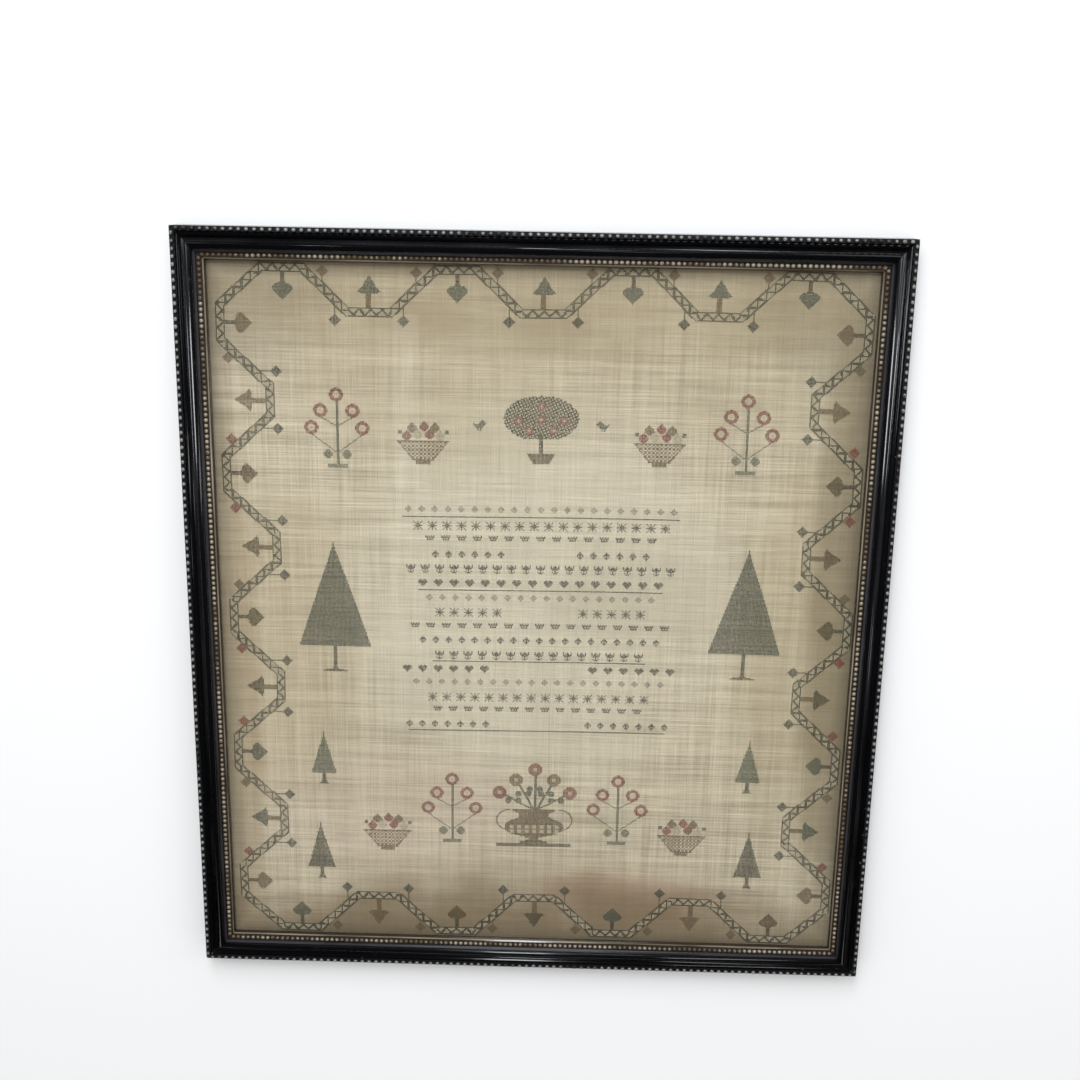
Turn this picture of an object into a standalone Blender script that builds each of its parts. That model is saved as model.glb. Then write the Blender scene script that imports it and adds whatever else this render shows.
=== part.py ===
"""Framed cross stitch sampler.

Four mitred rails of black moulding carry a fine beaded strip round their outer edge and a gilt
slip round their inner edge. A rebate behind the slip holds a glass pane, the stretched linen
sampler and a plain back board. The picture lies on its back: +Z is the face's outward normal,
+Y is the picture's top, and the origin is the middle of the back at the height it rests on.
"""
import math

import bmesh
import bpy
from mathutils import Matrix, Vector

# Driving dimensions, in metres.
FRAME_WIDTH = 0.480
FRAME_HEIGHT = 0.533
MM = 0.001
GAP = 0.3 * MM

# Rail section, measured inwards from the bead strip's outer edge and up from the back.
RAIL_OUTSET = 0.4 * MM
BEAD_SEAT_Z = 14.4 * MM
SIGHT_EDGE = 22.0 * MM
REBATE_START = 16.0 * MM
REBATE_TOP_Z = 11.1 * MM
SLIP_SEAT_START = 16.3 * MM
SLIP_SEAT_END = 20.2 * MM
SLIP_SEAT_Z = 13.6 * MM
ARC_STEPS = 8

# Applied strips: a flat base with a round top, both standing on their seat.
BEAD_WIDTH = 3.3 * MM
BEAD_BASE = 0.7 * MM
BEAD_RISE = 2.3 * MM
SLIP_WIDTH = 3.3 * MM
SLIP_BASE = 0.5 * MM
SLIP_RISE = 1.9 * MM
STRIP_ARC_STEPS = 8

# What the rebate holds, from the front to the back.
REBATE_PLAY = 0.6 * MM
GLASS_THICKNESS = 2.0 * MM
CLOTH_THICKNESS = 1.0 * MM
CLOTH_WAVE = 0.25 * MM
CLOTH_CLEARANCE = 0.75 * MM
CLOTH_CELLS_X = 16
CLOTH_CELLS_Y = 18
BOARD_THICKNESS = 4.0 * MM
BOARD_BEVEL = 0.8 * MM

# Each member of the rail's face: a straight run, or an arc that bulges out (+) or in (-)
# by the named sagitta. The first point is where the run before it ends.
FACE_MEMBERS = (
    # name, end distance in, end height, bulge (mm)
    ("bead seat", 3.9, 14.4, 0.0),
    ("quirk", 3.9, 15.0, 0.0),
    ("reed", 6.9, 15.2, 0.8),
    ("cove", 10.4, 17.5, -0.7),
    ("roll", 13.9, 19.2, 0.5),
    ("nose", 14.7, 18.2, 0.3),
    ("fillet drop", 14.7, 16.9, 0.0),
    ("fillet", 16.3, 16.6, 0.0),
    ("slip wall", 16.3, 13.6, 0.0),
    ("slip seat", 20.2, 13.6, 0.0),
    ("lip", 22.0, 12.3, 0.25),
)

# Colours, roughness and metallic of each sub-part's own material.
FINISHES = {
    "rail": ((0.010, 0.010, 0.012), 0.22, 0.0),
    "bead_edge": ((0.035, 0.030, 0.026), 0.38, 0.2),
    "slip": ((0.42, 0.31, 0.20), 0.45, 0.6),
    "glass_pane": ((0.90, 0.93, 0.91), 0.05, 0.0),
    "sampler_cloth": ((0.56, 0.46, 0.33), 0.90, 0.0),
    "back_board": ((0.34, 0.22, 0.12), 0.70, 0.0),
}

SIDES = ("bottom", "right", "top", "left")


def clear_scene():
    """Remove whatever objects the file starts with."""
    for old in list(bpy.data.objects):
        bpy.data.objects.remove(old, do_unlink=True)


def make_material(name, finish_name):
    """A Principled material with the named finish."""
    colour, roughness, metallic = FINISHES[finish_name]
    material = bpy.data.materials.new(name)
    material.use_nodes = True
    shader = material.node_tree.nodes["Principled BSDF"]
    shader.inputs["Base Color"].default_value = (*colour, 1.0)
    shader.inputs["Roughness"].default_value = roughness
    shader.inputs["Metallic"].default_value = metallic
    return material


def add_object(name, mesh, finish_name, collection):
    """Link one sub-part to the sampler's collection, with its own material."""
    mesh.name = name
    mesh.materials.clear()
    mesh.materials.append(make_material(name, finish_name))
    made = bpy.data.objects.new(name, mesh)
    collection.objects.link(made)
    return made


def arc_points(start, end, bulge, steps):
    """Points after start up to end, on the arc that leaves their chord by bulge."""
    if bulge == 0.0:
        return [end]
    chord = end - start
    half = chord.length / 2.0
    left = Vector((-chord.y, chord.x)).normalized()
    radius = (half * half + bulge * bulge) / (2.0 * abs(bulge))
    rise = math.copysign(1.0, bulge)
    centre = start + chord / 2.0 + left * rise * (abs(bulge) - radius)
    sweep = -rise * 2.0 * math.asin(min(1.0, half / radius))
    if abs(bulge) > half:
        sweep = math.copysign(2.0 * math.pi - abs(sweep), sweep)
    spoke = start - centre
    points = []
    for step in range(1, steps + 1):
        turn = Matrix.Rotation(sweep * step / steps, 2)
        points.append(centre + turn @ spoke)
    points[-1] = end
    return points


def rail_outline():
    """The rail's section as (distance in, height) points, from the back up and over the face."""
    points = [Vector((RAIL_OUTSET, 0.0)), Vector((RAIL_OUTSET, BEAD_SEAT_Z))]
    for _name, distance, height, bulge in FACE_MEMBERS:
        end = Vector((distance, height)) * MM
        points += arc_points(points[-1], end, bulge * MM, ARC_STEPS)
    points.append(Vector((SIGHT_EDGE, REBATE_TOP_Z)))
    points.append(Vector((REBATE_START, REBATE_TOP_Z)))
    points.append(Vector((REBATE_START, 0.0)))
    return points


def strip_outline(start, seat_z, width, base, rise):
    """A flat-based strip with an elliptical top, standing GAP above its seat."""
    foot = seat_z + GAP
    middle = start + width / 2.0
    points = [Vector((start, foot))]
    for step in range(STRIP_ARC_STEPS + 1):
        angle = math.pi * (1.0 - step / STRIP_ARC_STEPS)
        across = middle + math.cos(angle) * width / 2.0
        points.append(Vector((across, foot + base + math.sin(angle) * rise)))
    points.append(Vector((start + width, foot)))
    return points


def extruded_mesh(outline, half_length):
    """The outline as a filled flat curve, extruded both ways along its own Z."""
    curve = bpy.data.curves.new("section", "CURVE")
    curve.dimensions = "2D"
    curve.fill_mode = "BOTH"
    curve.extrude = half_length
    spline = curve.splines.new("POLY")
    spline.points.add(len(outline) - 1)
    for point, place in zip(spline.points, outline):
        point.co = (place.x, place.y, 0.0, 1.0)
    spline.use_cyclic_u = True
    holder = bpy.data.objects.new("section", curve)
    bpy.context.scene.collection.objects.link(holder)
    depsgraph = bpy.context.evaluated_depsgraph_get()
    mesh = bpy.data.meshes.new_from_object(holder.evaluated_get(depsgraph))
    bpy.data.objects.remove(holder, do_unlink=True)
    bpy.data.curves.remove(curve)
    return mesh


def cut_mitre(body, corner, direction):
    """Cut one end off on the 45 degree plane through the frame's corner, and close the cut."""
    normal = Vector((direction, 1.0, 0.0)).normalized()
    place = corner - normal * GAP / 2.0
    geometry = body.verts[:] + body.edges[:] + body.faces[:]
    bmesh.ops.bisect_plane(body, geom=geometry, dist=0.00001, plane_co=place,
                           plane_no=normal, clear_outer=True)
    rim = [edge for edge in body.edges if edge.is_boundary]
    bmesh.ops.contextual_create(body, geom=rim)


def mitred_length(name, outline, side_index, finish_name, collection):
    """One side of the frame in the outline's section, mitred at both ends and turned in place."""
    across, along = FRAME_HEIGHT, FRAME_WIDTH
    if side_index % 2 == 1:
        across, along = FRAME_WIDTH, FRAME_HEIGHT
    mesh = extruded_mesh(outline, along / 2.0)
    body = bmesh.new()
    body.from_mesh(mesh)
    bmesh.ops.remove_doubles(body, verts=body.verts, dist=0.00001)
    # The section's X points inwards, its Y up, and its extrusion runs along the rail.
    stand = Matrix(((0, 0, 1), (1, 0, 0), (0, 1, 0))).to_4x4()
    shift = Matrix.Translation((0.0, -across / 2.0, 0.0))
    bmesh.ops.transform(body, matrix=shift @ stand, verts=body.verts)
    for direction in (-1.0, 1.0):
        corner = Vector((direction * along / 2.0, -across / 2.0, 0.0))
        cut_mitre(body, corner, direction)
    turn = Matrix.Rotation(side_index * math.pi / 2.0, 4, "Z")
    bmesh.ops.transform(body, matrix=turn, verts=body.verts)
    bmesh.ops.recalc_face_normals(body, faces=body.faces)
    body.to_mesh(mesh)
    body.free()
    return add_object(name, mesh, finish_name, collection)


def rebate_size():
    """Width and height of a flat piece that drops into the rebate with a little play."""
    lost = 2.0 * (REBATE_START + REBATE_PLAY)
    return FRAME_WIDTH - lost, FRAME_HEIGHT - lost


def make_slab(name, top_z, thickness, finish_name, collection):
    """A flat rectangular piece that fills the rebate, with its front at top_z."""
    width, height = rebate_size()
    body = bmesh.new()
    bmesh.ops.create_cube(body, size=1.0)
    size = Matrix.Diagonal((width, height, thickness, 1.0))
    place = Matrix.Translation((0.0, 0.0, top_z - thickness / 2.0))
    bmesh.ops.transform(body, matrix=place @ size, verts=body.verts)
    mesh = bpy.data.meshes.new(name)
    body.to_mesh(mesh)
    body.free()
    return add_object(name, mesh, finish_name, collection)


def cloth_height(x, y):
    """Slow unevenness of the stretched linen about its mean height, in metres."""
    width, height = rebate_size()
    u = x / width
    v = y / height
    slow = math.sin(3.1 * math.pi * u + 0.7) * math.cos(2.3 * math.pi * v - 0.4)
    cross = math.sin(1.7 * math.pi * (u + v) + 1.9)
    return CLOTH_WAVE * (0.6 * slow + 0.4 * cross)


def make_cloth(top_z, collection):
    """The linen as one thin sheet, a little uneven, with its front near top_z."""
    width, height = rebate_size()
    body = bmesh.new()
    bmesh.ops.create_grid(body, x_segments=CLOTH_CELLS_X, y_segments=CLOTH_CELLS_Y, size=0.5)
    for vertex in body.verts:
        vertex.co.x *= width
        vertex.co.y *= height
        vertex.co.z = top_z + cloth_height(vertex.co.x, vertex.co.y)
    mesh = bpy.data.meshes.new("sampler_cloth")
    body.to_mesh(mesh)
    body.free()
    cloth = add_object("sampler_cloth", mesh, "sampler_cloth", collection)
    solidify = cloth.modifiers.new("Thickness", "SOLIDIFY")
    solidify.thickness = CLOTH_THICKNESS
    solidify.offset = -1.0
    return cloth


def make_back_board(top_z, collection):
    """The plain board that closes the back, with its edges eased."""
    board = make_slab("back_board", top_z, BOARD_THICKNESS, "back_board", collection)
    bevel = board.modifiers.new("Eased edges", "BEVEL")
    bevel.width = BOARD_BEVEL
    bevel.segments = 1
    return board


def build_sampler():
    """Make every piece of the framed sampler in its own collection."""
    clear_scene()
    collection = bpy.data.collections.new("framed_sampler")
    bpy.context.scene.collection.children.link(collection)

    bead = strip_outline(0.0, BEAD_SEAT_Z, BEAD_WIDTH, BEAD_BASE, BEAD_RISE)
    slip_start = (SLIP_SEAT_START + SLIP_SEAT_END - SLIP_WIDTH) / 2.0
    slip = strip_outline(slip_start, SLIP_SEAT_Z, SLIP_WIDTH, SLIP_BASE, SLIP_RISE)
    for index, side in enumerate(SIDES):
        mitred_length("rail_" + side, rail_outline(), index, "rail", collection)
        mitred_length("bead_edge_" + side, bead, index, "bead_edge", collection)
        mitred_length("slip_" + side, slip, index, "slip", collection)

    glass_top = REBATE_TOP_Z - GAP
    make_slab("glass_pane", glass_top, GLASS_THICKNESS, "glass_pane", collection)
    cloth_top = glass_top - GLASS_THICKNESS - CLOTH_CLEARANCE
    make_cloth(cloth_top, collection)
    board_top = cloth_top - CLOTH_THICKNESS - CLOTH_WAVE - GAP
    make_back_board(board_top, collection)


build_sampler()
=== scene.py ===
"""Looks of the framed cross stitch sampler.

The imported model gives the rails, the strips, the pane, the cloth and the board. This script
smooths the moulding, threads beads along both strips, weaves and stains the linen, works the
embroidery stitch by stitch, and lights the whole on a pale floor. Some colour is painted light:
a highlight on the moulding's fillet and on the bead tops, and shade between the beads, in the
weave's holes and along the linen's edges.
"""
import logging
import math
from dataclasses import dataclass, field
from enum import Enum
from typing import Any, Optional, Union

import bpy
import numpy as np
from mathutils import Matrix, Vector


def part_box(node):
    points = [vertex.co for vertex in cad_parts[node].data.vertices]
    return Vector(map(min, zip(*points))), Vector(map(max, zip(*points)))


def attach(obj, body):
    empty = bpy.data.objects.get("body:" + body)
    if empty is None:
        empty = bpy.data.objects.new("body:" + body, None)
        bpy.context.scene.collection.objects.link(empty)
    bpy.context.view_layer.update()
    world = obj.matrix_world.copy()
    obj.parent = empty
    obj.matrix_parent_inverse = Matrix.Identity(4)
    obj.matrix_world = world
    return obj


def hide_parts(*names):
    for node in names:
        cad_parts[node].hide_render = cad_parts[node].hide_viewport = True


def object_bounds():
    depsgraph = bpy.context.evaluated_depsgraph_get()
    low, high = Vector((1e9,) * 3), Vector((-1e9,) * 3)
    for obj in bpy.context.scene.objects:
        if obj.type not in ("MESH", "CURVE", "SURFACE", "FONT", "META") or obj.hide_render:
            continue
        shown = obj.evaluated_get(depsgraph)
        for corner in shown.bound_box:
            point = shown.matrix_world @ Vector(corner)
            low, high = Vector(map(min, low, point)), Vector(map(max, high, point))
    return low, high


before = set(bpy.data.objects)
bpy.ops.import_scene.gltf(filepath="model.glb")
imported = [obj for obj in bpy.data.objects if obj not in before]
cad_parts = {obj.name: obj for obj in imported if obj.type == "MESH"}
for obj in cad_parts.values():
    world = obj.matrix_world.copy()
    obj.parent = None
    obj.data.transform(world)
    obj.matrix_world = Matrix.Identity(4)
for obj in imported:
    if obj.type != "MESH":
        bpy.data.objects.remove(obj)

LOG = logging.getLogger("sampler")
CAD_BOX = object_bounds()
MM = 0.001
ROOT = "root"
SIDES = ("bottom", "right", "top", "left")
SEED = 1811


# ---------------------------------------------------------------- shader sums

class Value:
    """One socket of a material's graph that takes part in sums."""

    def __init__(self, graph: "Graph", socket: bpy.types.NodeSocket) -> None:
        """Keep the graph and the socket."""
        self.graph = graph
        self.socket = socket

    def _sum(self, operation: str, first: "Term", second: "Term") -> "Value":
        """Add one Math node of the given operation."""
        return self.graph.node("ShaderNodeMath", {"operation": operation}, {0: first, 1: second})

    def __add__(self, other: "Term") -> "Value":
        """This value plus another."""
        return self._sum("ADD", self, other)

    __radd__ = __add__

    def __sub__(self, other: "Term") -> "Value":
        """This value less another."""
        return self._sum("SUBTRACT", self, other)

    def __rsub__(self, other: "Term") -> "Value":
        """Another value less this one."""
        return self._sum("SUBTRACT", other, self)

    def __mul__(self, other: "Term") -> "Value":
        """This value times another."""
        return self._sum("MULTIPLY", self, other)

    __rmul__ = __mul__

    def __truediv__(self, other: "Term") -> "Value":
        """This value over another."""
        return self._sum("DIVIDE", self, other)

    def __abs__(self) -> "Value":
        """This value without its sign."""
        return self._sum("ABSOLUTE", self, 0.0)

    def least(self, other: "Term") -> "Value":
        """The smaller of the two."""
        return self._sum("MINIMUM", self, other)

    def most(self, other: "Term") -> "Value":
        """The larger of the two."""
        return self._sum("MAXIMUM", self, other)

    def wave(self) -> "Value":
        """The sine of this value."""
        return self._sum("SINE", self, 0.0)


Term = Union[float, Value]
Colour = tuple[float, float, float]
Span = tuple[float, float]


class Graph:
    """One material and the few ways in which its nodes are made."""

    def __init__(self, name: str) -> None:
        """Start a material with its Principled shader."""
        self.material = bpy.data.materials.new(name)
        self.material.use_nodes = True
        self.tree = self.material.node_tree
        self.shader = self.tree.nodes["Principled BSDF"]
        place = self.tree.nodes.new("ShaderNodeTexCoord")
        self.point = Value(self, place.outputs["Object"])

    def node(self, kind: str, settings: dict[str, Any], sockets: dict[Any, Any],
             output: Any = 0) -> Value:
        """Make any node.

        Args:
            kind: the node's type.
            settings: properties of the node, which are set first.
            sockets: numbers, colours or Values for its inputs.
            output: the name or number of the socket that is wanted.

        Returns:
            The wanted output.
        """
        made = self.tree.nodes.new(kind)
        for name, setting in settings.items():
            setattr(made, name, setting)
        for key, term in sockets.items():
            if isinstance(term, Value):
                self.tree.links.new(term.socket, made.inputs[key])
            else:
                made.inputs[key].default_value = term
        return Value(self, made.outputs[output])

    def axes(self) -> tuple[Value, Value, Value]:
        """The point's x, y and z, in metres."""
        split = self.tree.nodes.new("ShaderNodeSeparateXYZ")
        self.tree.links.new(self.point.socket, split.inputs[0])
        return tuple(Value(self, socket) for socket in split.outputs)

    def noise(self, stretch: Vector, detail: float = 3.0, roughness: float = 0.5) -> Value:
        """Noise with the given count of grains to the metre along x, y and z."""
        place = self.node("ShaderNodeVectorMath", {"operation": "MULTIPLY"},
                          {0: self.point, 1: stretch})
        return self.node("ShaderNodeTexNoise", {},
                         {"Vector": place, "Scale": 1.0, "Detail": detail, "Roughness": roughness})

    def ease(self, value: Value, low: float, high: float) -> Value:
        """0 below low, 1 above high, and a soft step between."""
        return self.node("ShaderNodeMapRange", {"interpolation_type": "SMOOTHSTEP"},
                         {"Value": value, "From Min": low, "From Max": high})

    def band(self, value: Value, rise: Span, fall: Span) -> Value:
        """1 between the two spans, and 0 outside them."""
        return self.ease(value, *rise) * (1 - self.ease(value, *fall))

    def mix(self, factor: Term, first: Any, second: Any) -> Value:
        """Mix two colours."""
        def paint(colour: Any) -> Any:
            """A colour with its alpha, or a link as it is."""
            return colour if isinstance(colour, Value) else (*colour, 1.0)
        return self.node("ShaderNodeMix", {"data_type": "RGBA"},
                         {0: factor, 6: paint(first), 7: paint(second)}, 2)

    def feed(self, **terms: Any) -> None:
        """Set or link the shader's own sockets; underscores stand for spaces."""
        for name, term in terms.items():
            socket = self.shader.inputs[name.replace("_", " ")]
            if isinstance(term, Value):
                self.tree.links.new(term.socket, socket)
            else:
                socket.default_value = (*term, 1.0) if isinstance(term, tuple) else term

    def bump(self, height: Value, distance: float, strength: float = 1.0) -> Value:
        """A normal raised by height, over the given distance in metres."""
        return self.node("ShaderNodeBump", {}, {"Height": height, "Distance": distance,
                                                "Strength": strength})


def dress(piece: bpy.types.Object, material: bpy.types.Material) -> None:
    """Give a piece one material all over."""
    piece.data.materials.clear()
    piece.data.materials.append(material)


# ---------------------------------------------------------------- finishes

@dataclass(frozen=True)
class EbonisedWood:
    """Black polish over wood, dusty in the cove and chipped at the outer edge, with a painted highlight
    along the flat fillet.
    """
    black: Colour = (0.0035, 0.0036, 0.0042)
    dust: Colour = (0.030, 0.030, 0.033)
    ground: Colour = (0.22, 0.16, 0.10)
    # painted highlight: the pale purple-grey given to the flat fillet
    fillet: Colour = (0.050, 0.047, 0.054)
    gilt_line: Colour = (0.36, 0.30, 0.22)
    lip: Colour = (0.05, 0.035, 0.022)

    def make(self, width: float, height: float) -> bpy.types.Material:
        """Build the material.

        Args:
            width: the frame's outer width in metres.
            height: the frame's outer height in metres.

        Returns:
            The material, with its wear and its painted fillet highlight placed by the distance in from
            the outer edge.
        """
        graph = Graph("ebonised wood")
        x, y, z = graph.axes()
        inwards = (width / 2 - abs(x)).least(height / 2 - abs(y))
        cloud = graph.noise(Vector((14, 14, 14)))
        grain = graph.noise(Vector((900, 900, 900)), 2.0)
        chips = graph.ease(graph.noise(Vector((170, 170, 170)), 4.0), 0.69, 0.72)
        hollow = graph.band(inwards, (7.4 * MM, 8.2 * MM), (9.4 * MM, 11 * MM))
        # the band of the flat fillet that carries the painted highlight
        fillet = graph.band(inwards, (14.7 * MM, 14.9 * MM), (16.2 * MM, 16.4 * MM))
        line = graph.band(inwards, (20.0 * MM, 20.2 * MM), (20.9 * MM, 21.2 * MM))
        inner = graph.ease(inwards, 20.0 * MM, 20.2 * MM)
        edges = (1 - graph.ease(inwards, 4.2 * MM, 5.0 * MM)) * graph.ease(z, 12 * MM, 14 * MM)
        colour = graph.mix(graph.ease(cloud, 0.35, 0.7) * hollow * 0.5, self.black, self.dust)
        # painted highlight: the flat fillet lifted from black to a pale purple-grey, patchy with the
        # cloud
        colour = graph.mix(fillet * (0.45 + 0.55 * graph.ease(cloud, 0.3, 0.6)), colour, self.fillet)
        colour = graph.mix(inner * 0.6, colour, self.lip)
        colour = graph.mix(line * graph.ease(cloud, 0.2, 0.7) * 0.8, colour, self.gilt_line)
        colour = graph.mix(chips * (edges * 0.9 + 0.06), colour, self.ground)
        rough = 0.10 + 0.12 * cloud + 0.35 * chips * edges + 0.18 * fillet
        graph.feed(Base_Color=colour, Roughness=rough, Coat_Weight=0.35, Coat_Roughness=0.06,
                   Normal=graph.bump(grain, 0.02 * MM, 0.4))
        return graph.material


@dataclass(frozen=True)
class RubbedFinishWithPaintedLight:
    """A dark ground in the hollows with a metal finish left on the high points; the pale tops are also a
    painted highlight, and the dark lower parts also painted shade between the beads.
    """
    name: str
    ground: Colour
    metal: Colour
    bare: Colour
    low: float
    high: float
    wear: float

    def make(self) -> bpy.types.Material:
        """Build the material; low and high are the heights between which the metal, which is also a
        painted highlight on the tops, starts.
        """
        graph = Graph(self.name)
        _x, _y, z = graph.axes()
        patches = graph.noise(Vector((26, 26, 26)), 4.0)
        specks = graph.noise(Vector((420, 420, 420)), 3.0)
        # painted highlight and shade by height: each bead's top goes pale, partly real metal left on the
        # high points and partly light on the tops; below, the dark ground is partly painted shade
        # between the beads
        top = graph.ease(z + (specks - 0.5) * 1.2 * MM, self.low, self.high)
        lost = graph.ease(patches + (specks - 0.5) * 0.5, self.wear, self.wear + 0.16)
        metal = graph.mix(lost, self.metal, self.bare)
        colour = graph.mix(top, self.ground, metal)
        graph.feed(Base_Color=colour, Metallic=top * 0.35, Roughness=0.62 - 0.18 * top,
                   Normal=graph.bump(specks, 0.08 * MM, 0.6))
        return graph.material


@dataclass(frozen=True)
class StainOrPaintedShade:
    """One soft mark on the linen, a stain or painted shade near the edges: middle and reach in mm from
    the cloth's middle.
    """
    x: float
    y: float
    reach_x: float
    reach_y: float
    colour: Colour
    depth: float


STAINS_AND_PAINTED_SHADE = (
    # x, y, reach across, reach up (mm), tint, depth
    # paler over the whole middle
    StainOrPaintedShade(0, 20, 150, 150, (0.78, 0.70, 0.55), 0.48),
    # darker across the lower part
    StainOrPaintedShade(0, -196, 200, 22, (0.34, 0.27, 0.17), 0.30),
    StainOrPaintedShade(-78, 206, 38, 16, (0.36, 0.28, 0.17), 0.55),
    StainOrPaintedShade(6, 204, 30, 22, (0.36, 0.29, 0.19), 0.50),
    StainOrPaintedShade(150, 180, 95, 60, (0.40, 0.34, 0.21), 0.30),
    StainOrPaintedShade(-172, -20, 55, 130, (0.50, 0.40, 0.24), 0.32),
    StainOrPaintedShade(178, -30, 44, 150, (0.42, 0.34, 0.19), 0.42),
    StainOrPaintedShade(60, -212, 80, 26, (0.36, 0.17, 0.11), 0.40),
    StainOrPaintedShade(-110, -150, 110, 60, (0.60, 0.47, 0.37), 0.30),
    # the next two: painted shade darkening the top corners inside the frame
    StainOrPaintedShade(-205, 226, 70, 60, (0.25, 0.21, 0.14), 0.50),
    StainOrPaintedShade(205, 226, 70, 60, (0.25, 0.21, 0.14), 0.45),
    # painted shade along the bottom edge
    StainOrPaintedShade(0, -245, 280, 52, (0.19, 0.13, 0.065), 0.85),
    # painted shadow along the top edge, under the top rail
    StainOrPaintedShade(0, 226, 270, 52, (0.36, 0.28, 0.16), 0.55),
    StainOrPaintedShade(-60, 160, 120, 60, (0.50, 0.42, 0.28), 0.40),
    # painted shadow along the right edge, under the right rail
    StainOrPaintedShade(208, 0, 26, 270, (0.22, 0.17, 0.09), 0.70),
    # painted shadow along the left edge, under the left rail
    StainOrPaintedShade(-208, -60, 18, 220, (0.34, 0.25, 0.14), 0.50),
    StainOrPaintedShade(70, 20, 70, 40, (0.42, 0.36, 0.25), 0.25),
)


@dataclass(frozen=True)
class AgedLinenWithPaintedShade:
    """Plain-woven linen, yellowed, streaked by its own uneven threads, and stained, with painted shade
    in the weave's holes and painted shadow along its edges.
    """
    pale: Colour = (0.79, 0.69, 0.505)
    thick: Colour = (0.40, 0.33, 0.23)
    threads_per_metre: float = 1450.0

    def stained(self, graph: Graph, colour: Value) -> Value:
        """Lay each soft mark over the colour: the stains, and the painted shade along the edges and the
        bottom.

        Args:
            graph: the linen's graph.
            colour: the clean weave.

        Returns:
            The stained weave, with its painted shade.
        """
        x, y, _z = graph.axes()
        ragged = (graph.noise(Vector((16, 16, 16)), 4.0) - 0.5) * 1.3
        for mark in STAINS_AND_PAINTED_SHADE:
            across = (x - mark.x * MM) / (mark.reach_x * MM)
            up = (y - mark.y * MM) / (mark.reach_y * MM)
            away = across * across + up * up + ragged
            colour = graph.mix((1 - graph.ease(away, 0.1, 1.25)) * mark.depth, colour, mark.colour)
        return colour

    def make(self) -> bpy.types.Material:
        """Build the material."""
        graph = Graph("aged linen with painted shade")
        x, y, _z = graph.axes()
        turn = 2.0 * math.pi * self.threads_per_metre
        weft_slub = graph.noise(Vector((16, 800, 1)), 4.0, 0.62)
        warp_slub = graph.noise(Vector((800, 14, 1)), 4.0, 0.62)
        weft_band = graph.noise(Vector((5, 130, 1)), 3.0, 0.6)
        warp_band = graph.noise(Vector((130, 5, 1)), 3.0, 0.6)
        weft = (y * turn + weft_slub * 9.0).wave()
        warp = (x * turn + warp_slub * 9.0).wave()
        weave = weft.most(warp) * 0.5 + 0.5
        streak = graph.ease(weft_slub * 0.62 + warp_slub * 0.38, 0.36, 0.66)
        band = graph.ease(weft_band * 0.6 + warp_band * 0.4, 0.36, 0.66)
        colour = graph.mix(streak * 0.65 + band * 0.45, self.pale, self.thick)
        colour = self.stained(graph, colour)
        # painted shade: the holes between the threads darkened towards a deep brown
        hole_shade = (1 - weave) * 0.55
        colour = graph.mix(hole_shade, colour, (0.12, 0.09, 0.06))
        # painted shadow: the linen darkened within 16 mm of the sight edge, where the rails and rebate
        # shade it
        rim = (0.218 - abs(x)).least(0.2445 - abs(y))
        colour = graph.mix((1 - graph.ease(rim, 0.0, 0.016)) * 0.5, colour, (0.13, 0.10, 0.06))
        graph.feed(Base_Color=colour, Roughness=0.92, Sheen_Weight=0.12,
                   Normal=graph.bump(weave + streak * 0.8, 0.16 * MM, 0.8))
        return graph.material


@dataclass(frozen=True)
class DyedThread:
    """Stranded thread whose dye has faded unevenly."""
    name: str
    colour: Colour
    linen: Colour = (0.34, 0.29, 0.21)
    fading: float = 0.28

    def make(self) -> bpy.types.Material:
        """Build the material; each stitch's shade attribute lightens or darkens it."""
        graph = Graph("thread " + self.name)
        shade = graph.node("ShaderNodeAttribute", {"attribute_name": "shade"}, {}, "Fac")
        fibre = graph.noise(Vector((3200, 3200, 3200)), 2.0)
        faded = tuple((1 - self.fading) * part + self.fading * bare
                      for part, bare in zip(self.colour, self.linen))
        colour = graph.mix(graph.ease(shade, 0.1, 1.0) * 0.7, self.colour, faded)
        colour = graph.mix((1 - fibre) * 0.35, colour, tuple(part * 0.35 for part in self.colour))
        graph.feed(Base_Color=colour, Roughness=0.86, Sheen_Weight=0.04,
                   Normal=graph.bump(fibre, 0.06 * MM, 0.6))
        return graph.material


@dataclass(frozen=True)
class ClearGlass:
    """A thin old pane with the faintest waviness."""

    def make(self) -> bpy.types.Material:
        """Build the material."""
        graph = Graph("clear glass")
        ripple = graph.noise(Vector((9, 9, 9)), 1.0)
        graph.feed(Base_Color=(0.97, 0.985, 0.975), Roughness=0.0, Transmission_Weight=1.0, IOR=1.5,
                   Normal=graph.bump(ripple, 0.02 * MM, 0.3))
        return graph.material


@dataclass(frozen=True)
class SawnBoard:
    """Softwood board, unfinished, with grain along its height."""

    def make(self) -> bpy.types.Material:
        """Build the material."""
        graph = Graph("sawn board")
        grain = graph.noise(Vector((120, 3, 30)), 5.0, 0.6)
        saw = graph.noise(Vector((8, 700, 8)), 2.0)
        colour = graph.mix(graph.ease(grain, 0.35, 0.65), (0.40, 0.27, 0.15), (0.22, 0.13, 0.07))
        colour = graph.mix(graph.ease(saw, 0.5, 0.7) * 0.25, colour, (0.16, 0.10, 0.06))
        graph.feed(Base_Color=colour, Roughness=0.8, Normal=graph.bump(grain + saw, 0.2 * MM, 0.6))
        return graph.material


@dataclass(frozen=True)
class PaleFloor:
    """A matt, nearly white floor."""

    def make(self) -> bpy.types.Material:
        """Build the material."""
        graph = Graph("pale floor")
        cloud = graph.noise(Vector((3, 3, 3)), 2.0)
        graph.feed(Base_Color=graph.mix(cloud * 0.2, (0.88, 0.88, 0.88), (0.84, 0.84, 0.84)),
                   Roughness=0.9)
        return graph.material


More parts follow.
